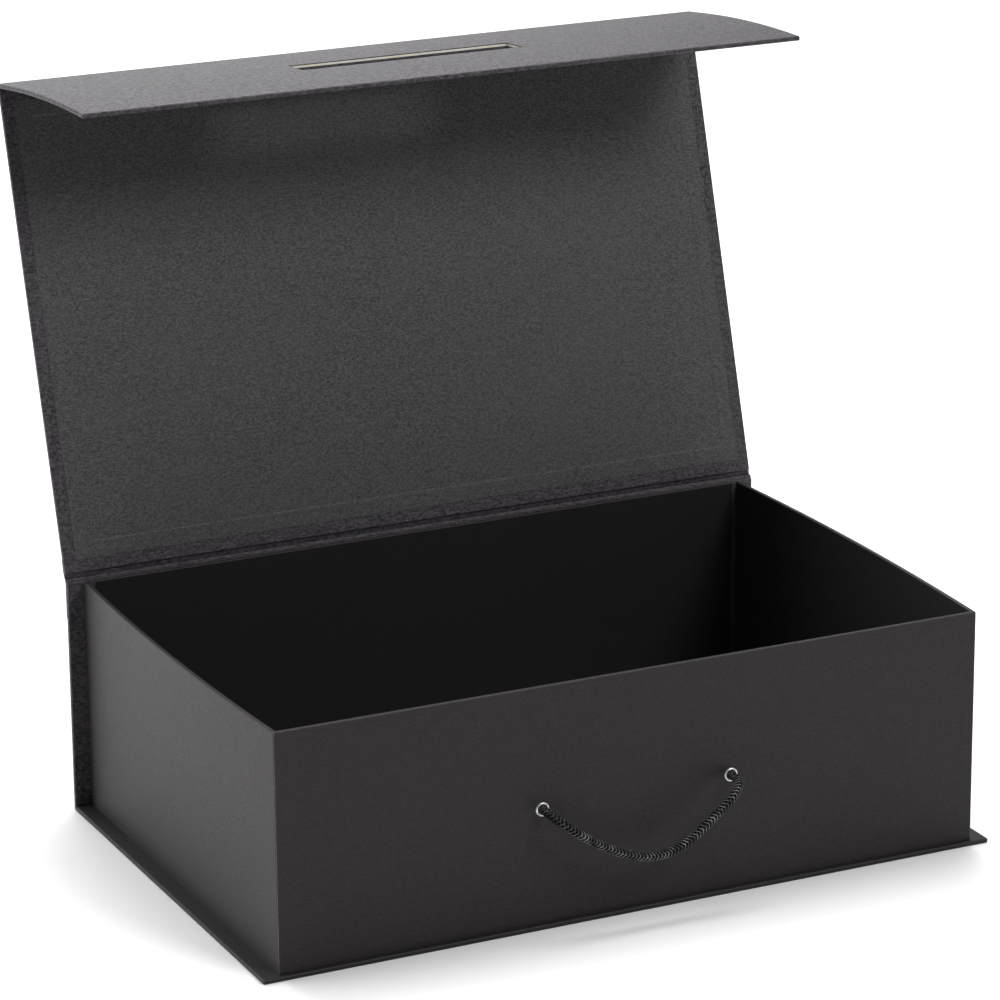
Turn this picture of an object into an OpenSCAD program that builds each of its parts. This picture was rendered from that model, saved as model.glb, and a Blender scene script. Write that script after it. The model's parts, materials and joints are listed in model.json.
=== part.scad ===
// Book-style rigid gift box: a tray on a base board, a lid that hinges on the
// spine behind the tray, a front flap on the lid with a slot, and a rope
// handle that comes out of two eyelets in the tray's front wall.
// Origin: centre of the underside. +Z up, +X to the right, the front faces -Y.

/* [Stock] */
// Thickness of the grey board
board_t = 2; // [1.5:0.1:3]
// Thickness of the covering paper
paper_t = 0.25; // [0.15:0.05:0.4]
// Width of the paper folded over behind each board's edge
turn_in = 15; // [8:1:25]

/* [Tray] */
// Outside width of the tray
tray_w = 390; // [280:1:500]
// Outside depth of the tray
tray_d = 254; // [180:1:340]
// Height of the tray above the base
tray_h = 125; // [90:0.5:180]
// Width of the paper tab in each inner corner
corner_tab_w = 3; // [2:0.5:25]

/* [Case] */
// How far the base, spine and lid stand out past each side of the tray
side_ledge = 9; // [4:0.5:20]
// How far the base stands out in front of the tray
front_ledge = 2.5; // [0.5:0.5:6]
// Air between closed lid or flap and the tray
close_gap = 0.3; // [0.2:0.05:1]
// Air between a hinge fold and the board ends beside it
seam_gap = 0.35; // [0.2:0.05:1]
// How far the lid's hinge line lies behind the spine's back face
hinge_set_back = 0.85; // [0.6:0.05:1.1]
// Height of the paper strip that holds the lid's hinge to the spine
hinge_leg_h = 20; // [10:1:40]
// Air between the closed flap's lower edge and the base
flap_lift = 1.5; // [0.5:0.5:6]
// Distance from a lid or flap edge to the edge of its lining paper
liner_inset = 7; // [3:0.5:12]

/* [Pose] */
// Angle that the lid stands open from closed, in degrees
lid_open = 106.5; // [0:0.5:180]
// Angle between the lid and the flap, in degrees
flap_fold = 77.5; // [60:0.5:180]

/* [Handle] */
// Diameter of the rope
rope_d = 4.8; // [3:0.1:6]
// Air around the rope in an eyelet's hole
rope_gap = 0.1; // [0.05:0.05:0.5]
// Distance between the two eyelets' centres
eyelet_spacing = 105.5; // [60:0.5:160]
// Height of the eyelets' centres above the underside
eyelet_z = 63.5; // [30:0.5:80]
// Wall thickness of an eyelet's barrel
eyelet_wall = 0.4; // [0.2:0.1:0.8]
// Width of an eyelet's rim from its hole to its outer edge
eyelet_rim_w = 1.2; // [1:0.05:3]
// Height of an eyelet's rim above the wall
eyelet_rim_t = 1; // [0.5:0.1:1.5]
// Air between an eyelet's barrel and its holes
eyelet_gap = 0.1; // [0.05:0.05:0.5]
// Thickness of the washer behind the wall
washer_t = 0.6; // [0.3:0.1:1.5]
// Width of the washer from its hole to its outer edge
washer_w = 2; // [1:0.1:4]
// Radius of the knot at each end of the rope
knot_r = 6.5; // [5:0.5:9]
// Length of the flap's slot
slot_l = 127; // [80:1:180]
// Width of the flap's slot
slot_w = 19; // [10:0.5:24]

/* [Closure] */
// Diameter of each hidden magnet
magnet_d = 12; // [6:1:20]
// Thickness of each hidden magnet
magnet_t = 1.4; // [0.8:0.1:1.4]
// Distance between the left and the right magnets
magnet_spacing = 260; // [160:5:300]
// Height of the magnets' centres above the underside, with the flap closed
magnet_z = 26; // [15:1:40]
// Air around a magnet in its pocket
magnet_gap = 0.05; // [0.02:0.01:0.2]

/* [Hidden] */
$fn = 64;
eps = 0.02;

// Covered board: paper, board, paper
case_t = board_t + 2 * paper_t;
// Heights
rim_z = case_t + tray_h;
floor_z = case_t + 2 * paper_t + board_t;
// Footprint, centred front to back on the origin
case_w = tray_w + 2 * side_ledge;
base_d = front_ledge + tray_d;
front_y = -(base_d + case_t) / 2;
tray_front = front_y + front_ledge;
tray_back = tray_front + tray_d;
spine_back = tray_back + case_t;
inner_front = tray_front + case_t;
// Hinge lines
fold_r = case_t / 2;
fold_clear = max(fold_r, fold_r / tan(flap_fold / 2)) + seam_gap;
hinge_y = spine_back + hinge_set_back;
hinge_z = rim_z + close_gap + paper_t + fold_r;
crease_y = tray_front - close_gap - paper_t - fold_r;
lid_run = hinge_y - crease_y;
lid_len = lid_run - 2 * fold_clear;
flap_run = hinge_z - case_t - flap_lift;
flap_len = flap_run - fold_clear;
// Distances down the flap from its crease
slot_run = hinge_z - eyelet_z;
magnet_run = hinge_z - magnet_z;
// Eyelet
eyelet_hole_r = rope_d / 2 + rope_gap;
barrel_r = eyelet_hole_r + eyelet_wall;
rim_bulge_r = (pow(eyelet_rim_t, 2) + pow(eyelet_rim_w / 2, 2)) / (2 * eyelet_rim_t);
lip_w = washer_w / 3;
lip_y = inner_front + washer_t;
knot_y = lip_y + eyelet_wall;

SIDES = [-1, 1];

// Rope loop, from the left eyelet's mouth to the right one's:
// [x, y in front of the tray, z above the eyelets]
ROPE_ROUTE = [
    [-52.75, -1, 0],
    [-52.75, -3.5, 0],
    [-52.3, -7.2, -0.4],
    [-50.6, -11.4, -1.9],
    [-47.1, -15.1, -4.8],
    [-40.4, -17.2, -10],
    [-32, -16.9, -15.5],
    [-23, -17.6, -20.8],
    [-13, -18.5, -25],
    [-2.1, -19.2, -27.5],
    [8.1, -18.8, -27.3],
    [18, -18.6, -24],
    [27, -18.4, -18],
    [35.4, -17.6, -12.2],
    [43.8, -17.4, -5.5],
    [49.5, -13.5, -1.9],
    [52.2, -8.3, -0.3],
    [52.75, -3.5, 0],
    [52.75, -1, 0],
];
rope_sides = 10;
// Share of its radius at which a knot is cut flat
knot_sink = 0.8;

// ---- Shapes that repeat ----

// Box centred on X, from y0 to y1 and from z0 to z1
module block(w, y0, y1, z0, z1) {
    translate([-w / 2, y0, z0])
        cube([w, y1 - y0, z1 - z0]);
}

// Upright ring of wall thickness t inside the rectangle w by d around the tray's centre
module tray_ring(w, d, t, z0, z1) {
    translate([0, (tray_front + tray_back) / 2, z0])
        linear_extrude(z1 - z0)
            difference() {
                square([w, d], center = true);
                square([w - 2 * t, d - 2 * t], center = true);
            }
}

// Flat panel that runs towards -Y from its hinge line, with its outer face towards +Z
module panel_board(len) {
    block(
        case_w - 2 * paper_t,
        -fold_clear - len + paper_t,
        -fold_clear - paper_t,
        -board_t / 2,
        board_t / 2
    );
}

// Paper around a panel's board, turned in behind its edges
module panel_wrap(len) {
    difference() {
        block(case_w, -fold_clear - len, -fold_clear, -fold_r, fold_r);
        panel_board(len);
        block(
            case_w - 2 * turn_in,
            -fold_clear - len + turn_in,
            -fold_clear - turn_in,
            -fold_r - eps,
            -board_t / 2 + eps
        );
    }
}

// Lining paper: down on the board in the middle, and up over the turned-in paper around it
module panel_liner(len) {
    difference() {
        block(
            case_w - 2 * liner_inset,
            -fold_clear - len + liner_inset,
            -fold_clear - liner_inset,
            -fold_r - paper_t,
            -fold_r
        );
        block(
            case_w - 2 * turn_in - 2 * paper_t,
            -fold_clear - len + turn_in + paper_t,
            -fold_clear - turn_in - paper_t,
            -fold_r - paper_t - eps,
            -fold_r + eps
        );
    }
    block(
        case_w - 2 * turn_in,
        -fold_clear - len + turn_in,
        -fold_clear - turn_in,
        -fold_r,
        -board_t / 2
    );
}

// Round bar along X on a hinge line
module fold_bar() {
    rotate([0, 90, 0])
        cylinder(r = fold_r, h = case_w, center = true);
}

// The slot, cut through all of the flap's layers
module slot_cut() {
    block(
        slot_l,
        -slot_run - slot_w / 2,
        -slot_run + slot_w / 2,
        -case_t,
        case_t
    );
}

// Frames that carry the lid and the flap from their hinge lines
module lid_frame() {
    translate([0, hinge_y, hinge_z])
        rotate([-lid_open, 0, 0])
            children();
}

module flap_frame() {
    lid_frame()
        translate([0, -lid_run, 0])
            rotate([180 - flap_fold, 0, 0])
                children();
}

// Stands a turned shape on the front wall: its base at y, pointing out of the box
module facing_front(side, y) {
    translate([side * eyelet_spacing / 2, y, eyelet_z])
        rotate([90, 0, 0])
            children();
}

// Holes for both eyelet barrels
module eyelet_holes() {
    for (side = SIDES)
        facing_front(side, inner_front + eps)
            cylinder(r = barrel_r + eyelet_gap, h = case_t + 2 * eps);
}

// Both magnets, or their pockets, as discs that lie on z = 0 and rise by t
module magnet_discs(grow, t) {
    for (side = SIDES)
        translate([side * magnet_spacing / 2, 0, 0])
            cylinder(r = magnet_d / 2 + grow, h = t);
}

// Puts magnet discs in the front wall, level with its board's outer face
module in_front_wall() {
    translate([0, tray_front + paper_t, magnet_z])
        rotate([-90, 0, 0])
            children();
}

// Puts magnet discs in the flap, level with its board's inner face
module in_flap() {
    flap_frame()
        translate([0, -magnet_run, -board_t / 2])
            children();
}

// ---- Base and spine ----

module base_core() {
    block(
        case_w - 2 * paper_t,
        front_y + paper_t,
        tray_back - paper_t,
        paper_t,
        case_t - paper_t
    );
}

module base_board() {
    color("burlywood")
        base_core();
}

module base_wrap() {
    color("#201f20")
        difference() {
            block(case_w, front_y, tray_back, 0, case_t);
            base_core();
            block(
                tray_w - 2 * turn_in,
                tray_front + turn_in,
                tray_back - turn_in,
                paper_t + eps,
                case_t + eps
            );
        }
}

module spine_core() {
    block(
        case_w - 2 * paper_t,
        tray_back + paper_t,
        spine_back - paper_t,
        paper_t,
        rim_z - paper_t
    );
}

// Patch of the spine's front face that its turned-in paper leaves bare
module spine_window(y0, y1) {
    block(tray_w - 2 * turn_in, y0, y1, case_t + turn_in, rim_z - turn_in);
}

module spine_board() {
    color("burlywood")
        spine_core();
}

module spine_wrap() {
    color("#262526")
        difference() {
            block(case_w, tray_back, spine_back, 0, rim_z);
            spine_core();
            spine_window(tray_back - eps, spine_back - paper_t - eps);
        }
}

module spine_glue() {
    color("ivory")
        spine_window(tray_back, tray_back + paper_t);
}

// ---- Tray ----

module glue_sheet() {
    color("ivory")
        block(
            tray_w - 2 * turn_in,
            tray_front + turn_in,
            tray_back - turn_in,
            case_t - paper_t,
            case_t + paper_t
        );
}

module floor_board() {
    color("burlywood")
        block(
            tray_w - 2 * (paper_t + board_t),
            tray_front + paper_t + board_t,
            tray_back - paper_t - board_t,
            case_t + paper_t,
            floor_z - paper_t
        );
}

module floor_liner() {
    color("#181718")
        block(
            tray_w - 2 * case_t,
            tray_front + case_t,
            tray_back - case_t,
            floor_z - paper_t,
            floor_z
        );
}

// Board of the front or the back wall, with its outer face at y0
module cross_wall(y0) {
    block(tray_w - 2 * paper_t, y0, y0 + board_t, case_t + paper_t, rim_z - paper_t);
}

module wall_front() {
    color("burlywood")
        difference() {
            cross_wall(tray_front + paper_t);
            eyelet_holes();
            in_front_wall()
                translate([0, 0, -eps])
                    magnet_discs(magnet_gap, magnet_t + magnet_gap + eps);
        }
}

module wall_back() {
    color("burlywood")
        cross_wall(tray_back - paper_t - board_t);
}

// Board of a side wall, between the front and back boards
module side_wall(side) {
    color("burlywood")
        translate([side * (tray_w / 2 - paper_t - board_t / 2), 0, 0])
            block(
                board_t,
                tray_front + paper_t + board_t,
                tray_back - paper_t - board_t,
                case_t + paper_t,
                rim_z - paper_t
            );
}

// Covering paper: up the outside, over the rim, down the inside, and under the floor's edge
module tray_wrap() {
    color("#343334")
        difference() {
            union() {
                tray_ring(tray_w, tray_d, paper_t, case_t, rim_z);
                tray_ring(tray_w, tray_d, case_t, rim_z - paper_t, rim_z);
                tray_ring(
                    tray_w - 2 * (paper_t + board_t),
                    tray_d - 2 * (paper_t + board_t),
                    paper_t,
                    floor_z - paper_t,
                    rim_z
                );
                tray_ring(tray_w, tray_d, turn_in, case_t, case_t + paper_t);
            }
            eyelet_holes();
        }
}

// Overlapping paper tab that closes an inner corner, on the front or the back wall
module corner_tab(side, y0) {
    color("#2b2a2b")
        translate([side * (tray_w / 2 - case_t - corner_tab_w / 2), 0, 0])
            block(corner_tab_w, y0, y0 + paper_t, floor_z, rim_z - paper_t);
}

module tray_magnets() {
    color("silver")
        in_front_wall()
            magnet_discs(0, magnet_t);
}

// ---- Eyelets and rope ----

module eyelet(side) {
    color("gainsboro")
        facing_front(side, tray_front) {
            rotate_extrude()
                intersection() {
                    translate([eyelet_hole_r + eyelet_rim_w / 2, eyelet_rim_t - rim_bulge_r])
                        circle(r = rim_bulge_r);
                    translate([eyelet_hole_r, 0])
                        square([eyelet_rim_w, eyelet_rim_t]);
                }
            rotate_extrude()
                translate([eyelet_hole_r, tray_front - knot_y])
                    square([eyelet_wall, knot_y - tray_front]);
            rotate_extrude()
                translate([eyelet_hole_r, tray_front - knot_y])
                    square([eyelet_wall + lip_w, eyelet_wall]);
        }
}

module washer(side) {
    color("gainsboro")
        facing_front(side, lip_y)
            difference() {
                cylinder(r = barrel_r + eyelet_gap + washer_w, h = washer_t);
                translate([0, 0, -eps])
                    cylinder(r = barrel_r + eyelet_gap, h = washer_t + 2 * eps);
            }
}

module rope_stub(side) {
    color("#121212")
        facing_front(side, knot_y)
            cylinder(r = rope_d / 2, h = knot_y - tray_front + eyelet_rim_t);
}

// Knot behind the wall, flat where it bears on the eyelet
module rope_knot(side) {
    color("#121212")
        facing_front(side, knot_y)
            intersection() {
                translate([0, 0, -knot_r * knot_sink])
                    sphere(r = knot_r);
                translate([0, 0, -knot_r])
                    cube(2 * knot_r, center = true);
            }
}

// Tangent of a route at point i
function tangent(p, i) =
    let (d = p[min(i + 1, len(p) - 1)] - p[max(i - 1, 0)])
    d / norm(d);

// Ring of points of radius r across a route at point i
function ring_at(p, i, r, n) =
    let (
        t = tangent(p, i),
        s = cross([0, 0, 1], t),
        across = s / norm(s),
        up = cross(t, across)
    )
    [for (k = [0:n - 1]) p[i] + r * (across * cos(360 * k / n) + up * sin(360 * k / n))];

// Closed tube of n sides swept along a route
module tube(p, r, n) {
    last = len(p) - 1;
    points = [for (i = [0:last]) each ring_at(p, i, r, n)];
    walls = [
        for (i = [0:last - 1], k = [0:n - 1])
            let (a = i * n + k, b = i * n + (k + 1) % n)
            each [[a, a + n, b], [b, a + n, b + n]]
    ];
    start_cap = [for (k = [0:n - 1]) k];
    end_cap = [for (k = [n - 1:-1:0]) last * n + k];
    polyhedron(points, concat(walls, [start_cap, end_cap]));
}

module rope_loop() {
    color("#121212")
        translate([0, tray_front, eyelet_z])
            tube(ROPE_ROUTE, rope_d / 2, rope_sides);
}

// ---- Lid and flap ----

// Paper strip glued up the spine's back, with the round fold that the lid turns on
module lid_hinge_strip() {
    color("#262526") {
        block(case_w, spine_back, spine_back + paper_t, rim_z - hinge_leg_h, hinge_z);
        translate([0, hinge_y, hinge_z])
            fold_bar();
    }
}

module lid_board() {
    color("burlywood")
        lid_frame()
            panel_board(lid_len);
}

module lid_wrap() {
    color("#3a393a")
        lid_frame()
            panel_wrap(lid_len);
}

module lid_liner() {
    color("#3d3c3e")
        lid_frame()
            panel_liner(lid_len);
}

// Round paper fold between the lid's board and the flap's board
module flap_fold_strip() {
    color("#5f5c61")
        flap_frame()
            fold_bar();
}

module flap_board() {
    color("burlywood")
        difference() {
            flap_frame()
                difference() {
                    panel_board(flap_len);
                    slot_cut();
                }
            in_flap()
                translate([0, 0, -eps])
                    magnet_discs(magnet_gap, magnet_t + magnet_gap + eps);
        }
}

module flap_wrap() {
    color("#5f5c61")
        flap_frame()
            difference() {
                panel_wrap(flap_len);
                slot_cut();
            }
}

module flap_liner() {
    color("#2c2b2c")
        flap_frame()
            difference() {
                panel_liner(flap_len);
                slot_cut();
            }
}

module flap_magnets() {
    color("silver")
        in_flap()
            magnet_discs(0, magnet_t);
}

// ---- Nodes ----

base_board();
base_wrap();
spine_board();
spine_wrap();
spine_glue();
glue_sheet();
floor_board();
floor_liner();
wall_front();
wall_back();
side_wall(-1);  // wall_left
side_wall(1);  // wall_right
tray_wrap();
corner_tab(-1, inner_front);  // corner_tab_front_left
corner_tab(1, inner_front);  // corner_tab_front_right
corner_tab(-1, tray_back - case_t - paper_t);  // corner_tab_back_left
corner_tab(1, tray_back - case_t - paper_t);  // corner_tab_back_right
tray_magnets();
eyelet(-1);  // eyelet_left
eyelet(1);  // eyelet_right
washer(-1);  // washer_left
washer(1);  // washer_right
rope_stub(-1);  // rope_stub_left
rope_stub(1);  // rope_stub_right
rope_knot(-1);  // rope_knot_left
rope_knot(1);  // rope_knot_right
rope_loop();
lid_hinge_strip();
lid_board();
lid_wrap();
lid_liner();
flap_fold_strip();
flap_board();
flap_wrap();
flap_liner();
flap_magnets();
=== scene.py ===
import json
from math import cos, pi, radians, sin

import bmesh
import bpy
from mathutils import Matrix, Vector


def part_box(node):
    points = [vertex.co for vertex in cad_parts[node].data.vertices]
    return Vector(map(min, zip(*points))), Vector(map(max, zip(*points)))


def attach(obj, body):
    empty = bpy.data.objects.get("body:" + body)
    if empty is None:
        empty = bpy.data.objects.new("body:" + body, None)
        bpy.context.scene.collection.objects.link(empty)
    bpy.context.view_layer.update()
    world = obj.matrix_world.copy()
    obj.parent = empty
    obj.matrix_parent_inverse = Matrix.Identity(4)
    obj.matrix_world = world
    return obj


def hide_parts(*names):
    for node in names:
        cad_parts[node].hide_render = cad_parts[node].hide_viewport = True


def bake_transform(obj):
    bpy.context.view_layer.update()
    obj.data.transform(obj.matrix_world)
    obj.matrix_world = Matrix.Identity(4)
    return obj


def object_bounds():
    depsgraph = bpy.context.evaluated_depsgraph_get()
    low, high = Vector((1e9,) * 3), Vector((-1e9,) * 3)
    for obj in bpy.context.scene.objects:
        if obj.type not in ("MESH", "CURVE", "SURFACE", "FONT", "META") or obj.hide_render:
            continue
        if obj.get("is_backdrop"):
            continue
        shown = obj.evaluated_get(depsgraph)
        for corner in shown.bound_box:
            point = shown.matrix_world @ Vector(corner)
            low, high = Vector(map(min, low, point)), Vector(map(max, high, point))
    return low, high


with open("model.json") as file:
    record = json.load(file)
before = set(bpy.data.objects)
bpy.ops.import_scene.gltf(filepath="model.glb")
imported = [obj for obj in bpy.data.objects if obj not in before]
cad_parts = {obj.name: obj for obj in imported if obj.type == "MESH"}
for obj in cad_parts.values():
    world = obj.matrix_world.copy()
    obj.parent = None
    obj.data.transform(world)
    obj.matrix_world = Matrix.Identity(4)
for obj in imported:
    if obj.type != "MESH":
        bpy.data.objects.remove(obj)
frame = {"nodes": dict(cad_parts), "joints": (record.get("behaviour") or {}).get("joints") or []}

cad_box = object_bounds()

# ---- Sizes, in metres, from the frame or named here ----

MM = 0.001
PAPER = 0.25 * MM
TURN_IN = 15 * MM
EDGE_R = 0.7 * MM          # rounding of a paper-covered board's edge
EDGE_LOOP = 0.3 * MM       # from a rounded edge to the loop that keeps the face beside it flat
CORNER_R = 0.9 * MM        # rounding of the tray's upright corners
SIDE_BOW = 4 * MM          # how far the tray's side walls bow out at the rim
TAB_WAVE = 0.7 * MM        # how far a corner tab's free edge strays
FLAP_BOW = 2.2 * MM        # how far the flap arches above its chord
FLAP_FOLD = radians(77.5)  # angle between the lid and the flap at rest
LINER_STEP = 1.2 * MM      # width of the slope where the lining steps down off the turn-in
SLOT_L = 127 * MM
SLOT_W = 19 * MM
ROPE_D = 4.8 * MM

tray_lo, tray_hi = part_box("tray_wrap")
base_lo, base_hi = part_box("base_wrap")
spine_lo, spine_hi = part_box("spine_wrap")
liner_lo, liner_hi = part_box("floor_liner")
eyelet_lo, eyelet_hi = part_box("eyelet_left")

case_t = base_hi.z
rim_z = tray_hi.z
floor_z = liner_hi.z
half_w = base_hi.x
tray_front = tray_lo.y
tray_back = tray_hi.y
eyelet_x = (eyelet_lo.x + eyelet_hi.x) / 2
eyelet_z = (eyelet_lo.z + eyelet_hi.z) / 2

joints = {j["name"]: j for j in frame["joints"]}
hinge = Vector(joints["lid_hinge"]["pos_m"])
crease = Vector(joints["flap_hinge"]["pos_m"])
lid_run = (crease - hinge).normalized()
flap_run = Matrix.Rotation(pi - FLAP_FOLD, 3, "X") @ lid_run
slot_run = hinge.z - eyelet_z

SIDES = {"left": -1, "right": 1}


# ---- Camera, lights and floor ----

def aim(obj, place, target, roll=0.0):
    """Stands obj at place, looking at target, turned by roll about its view."""
    ahead = (target - place).normalized()
    level = ahead.cross(Vector((0, 0, 1))).normalized()
    rise = level.cross(ahead)
    right = level * cos(roll) + rise * sin(roll)
    up = rise * cos(roll) - level * sin(roll)
    turn = Matrix((right, up, -ahead)).transposed()
    obj.matrix_world = Matrix.Translation(place) @ turn.to_4x4()


def make_camera():
    azimuth, elevation = radians(25.62), radians(17.57)
    target = Vector((-13.6, 0, 181.7)) * MM
    distance = 2.301
    back = Vector((
        -sin(azimuth) * cos(elevation),
        -cos(azimuth) * cos(elevation),
        sin(elevation),
    ))
    data = bpy.data.cameras.new("camera")
    data.sensor_width = 36
    data.lens = 161.65
    camera = bpy.data.objects.new("camera", data)
    bpy.context.scene.collection.objects.link(camera)
    aim(camera, target + back * distance, target, radians(-0.44))
    bpy.context.scene.camera = camera


def make_light(name, place, target, size, power, colour=(1, 1, 1)):
    data = bpy.data.lights.new(name, "AREA")
    data.shape = "RECTANGLE"
    data.size, data.size_y = size
    data.energy = power
    data.color = colour
    light = bpy.data.objects.new(name, data)
    bpy.context.scene.collection.objects.link(light)
    aim(light, Vector(place), Vector(target))


def make_lights():
    centre = (0, 0, 0.16)
    make_light("key", (-2.3, 1.1, 0.46), (0, 0, 0.1), (1.6, 0.8), 33)
    make_light("front", (0.95, -2.0, 2.05), centre, (1.0, 1.0), 46)
    make_light("top", (0.1, 0.9, 2.6), (0, 0.3, 0), (2.0, 2.0), 92)
    make_light("back", (0.3, 3.3, 1.5), (0, 0.8, 0.1), (3.0, 1.5), 38)
    world = bpy.data.worlds.new("studio")
    world.use_nodes = True
    sky = world.node_tree.nodes["Background"]
    sky.inputs["Color"].default_value = (0.97, 0.97, 1.0, 1)
    sky.inputs["Strength"].default_value = 0.25
    bpy.context.scene.world = world
    bpy.context.scene.view_settings.view_transform = "Standard"


def make_floor(material):
    half = 7.0
    mesh = bpy.data.meshes.new("floor")
    corners = [(-half, -half, 0), (half, -half, 0), (half, half, 0), (-half, half, 0)]
    mesh.from_pydata(corners, [], [(0, 1, 2, 3)])
    mesh.materials.append(material)
    floor = bpy.data.objects.new("floor", mesh)
    bpy.context.scene.collection.objects.link(floor)
    floor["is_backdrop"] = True


# ---- Materials ----

class Shader:
    """A material's node tree, with short calls for the nodes that repeat."""

    def __init__(self, name):
        self.material = bpy.data.materials.new(name)
        self.material.use_nodes = True
        self.tree = self.material.node_tree
        self.bsdf = self.tree.nodes["Principled BSDF"]
        self.place = self.node("ShaderNodeTexCoord").outputs["Object"]

    def node(self, kind, **settings):
        made = self.tree.nodes.new(kind)
        for key, value in settings.items():
            setattr(made, key, value)
        return made

    def link(self, value, socket):
        if isinstance(value, bpy.types.NodeSocket):
            self.tree.links.new(value, socket)
        else:
            socket.default_value = value

    def noise(self, size, detail=3.0, stretch=(1, 1, 1), rough=0.5):
        """Noise with features about size metres across, as a value from 0 to 1."""
        mapping = self.node("ShaderNodeMapping")
        mapping.inputs["Scale"].default_value = stretch
        self.link(self.place, mapping.inputs["Vector"])
        made = self.node("ShaderNodeTexNoise")
        self.link(mapping.outputs["Vector"], made.inputs["Vector"])
        made.inputs["Scale"].default_value = 1 / size
        made.inputs["Detail"].default_value = detail
        made.inputs["Roughness"].default_value = rough
        return made.outputs["Fac"]

    def attribute(self, name):
        return self.node("ShaderNodeAttribute", attribute_name=name).outputs["Fac"]

    def ramp(self, value, low, high, out_low=0.0, out_high=1.0):
        made = self.node("ShaderNodeMapRange")
        made.interpolation_type = "SMOOTHSTEP"
        for socket, number in zip(made.inputs[1:5], (low, high, out_low, out_high)):
            socket.default_value = number
        self.link(value, made.inputs[0])
        return made.outputs[0]

    def maths(self, kind, a, b=0.0):
        made = self.node("ShaderNodeMath", operation=kind)
        self.link(a, made.inputs[0])
        self.link(b, made.inputs[1])
        return made.outputs[0]

    def mix(self, share, a, b):
        made = self.node("ShaderNodeMix", data_type="RGBA")
        self.link(share, made.inputs[0])
        for value, socket in ((a, made.inputs[6]), (b, made.inputs[7])):
            self.link((*value, 1) if isinstance(value, tuple) else value, socket)
        return made.outputs[2]

    def bump(self, height, depth, strength=1.0, under=None):
        made = self.node("ShaderNodeBump")
        made.inputs["Strength"].default_value = strength
        made.inputs["Distance"].default_value = depth
        self.link(height, made.inputs["Height"])
        if under is not None:
            self.link(under, made.inputs["Normal"])
        return made.outputs["Normal"]

    def set(self, **values):
        """Sets or links the surface's sockets, named with _ for a space."""
        for key, value in values.items():
            socket = self.bsdf.inputs[key.replace("_", " ")]
            self.link((*value, 1) if isinstance(value, tuple) else value, socket)
        return self.material


def shade(colour, factor):
    return tuple(c * factor for c in colour)


def covering_paper(name, colour, rough, contrast, depth, rub_and_highlight=1.0, grain=1.05 * MM):
    """Black paper: fine fibrous grain, slightly cloudy, paler along its rounded edges, partly
    where they are rubbed and partly as a painted highlight.
    """
    s = Shader(name)
    fine = s.noise(grain, 3, rough=0.6)
    fibre = s.noise(grain * 0.6, 3, (0.3, 1, 1), 0.6)
    cloud = s.noise(60 * MM, 4)
    rub_and_highlight_noise = s.noise(6 * MM, 5)
    weave = s.maths("MULTIPLY", s.maths("ADD", fine, fibre), 0.5)
    tint = s.mix(
        s.ramp(weave, 0.36, 0.64), shade(colour, 1 - contrast), shade(colour, 1 + contrast)
    )
    tint = s.mix(s.ramp(cloud, 0.35, 0.7, 0.0, 0.3), tint, shade(colour, 1.25))
    # Rounded edges paler: partly rubbed paper, partly a painted highlight along the edge.
    worn_and_highlit = s.maths(
        "MULTIPLY", s.attribute("wear_and_highlight"), s.ramp(rub_and_highlight_noise, 0.3, 0.66, 0.25 * rub_and_highlight, 0.7 * rub_and_highlight)
    )
    tint = s.mix(worn_and_highlit, tint, shade(colour, 3.2))
    normal = s.bump(fine, depth, 0.8)
    normal = s.bump(fibre, depth * 0.7, 0.7, normal)
    return s.set(
        Base_Color=tint,
        Roughness=s.ramp(weave, 0.3, 0.7, rough + 0.08, rough - 0.08),
        Specular_IOR_Level=0.3,
        Specular_Tint=tuple(c / max(colour) for c in colour),
        Sheen_Weight=0.05,
        Sheen_Roughness=0.5,
        Normal=normal,
    )


def greyboard(name):
    """Recycled grey-beige board: short fibres and dark specks."""
    s = Shader(name)
    fibre = s.noise(0.7 * MM, 5, (1, 1, 3.5), 0.65)
    speck = s.noise(0.35 * MM, 2)
    tint = s.mix(s.ramp(fibre, 0.3, 0.72), (0.42, 0.39, 0.33), (0.74, 0.70, 0.61))
    tint = s.mix(s.ramp(speck, 0.66, 0.74, 0.0, 0.7), tint, (0.13, 0.10, 0.08))
    return s.set(
        Base_Color=tint,
        Roughness=s.ramp(fibre, 0.2, 0.8, 0.95, 0.82),
        Normal=s.bump(fibre, 0.12 * MM, 0.8),
    )


def nickel(name):
    """Bright nickel with fine scratches and dull patches."""
    s = Shader(name)
    scratch = s.noise(0.6 * MM, 4, (1, 1, 9), 0.7)
    patch = s.noise(3 * MM, 3)
    tint = s.mix(s.ramp(patch, 0.35, 0.7), (0.84, 0.83, 0.81), (0.95, 0.94, 0.92))
    return s.set(
        Base_Color=tint,
        Metallic=1.0,
        Roughness=s.ramp(scratch, 0.3, 0.75, 0.3, 0.48),
        Normal=s.bump(scratch, 0.012 * MM, 0.6),
    )


def brushed_steel(name):
    s = Shader(name)
    brush = s.noise(0.5 * MM, 4, (14, 1, 1), 0.6)
    tint = s.mix(brush, (0.5, 0.5, 0.51), (0.68, 0.68, 0.69))
    return s.set(
        Base_Color=tint,
        Metallic=1.0,
        Roughness=s.ramp(brush, 0.3, 0.7, 0.28, 0.46),
        Normal=s.bump(brush, 0.02 * MM, 0.5),
    )


FILAMENTS = 9.0            # ridges round each strand
FILAMENT_LEAN = 0.8        # turns that a ridge leans in a millimetre of strand


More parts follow.
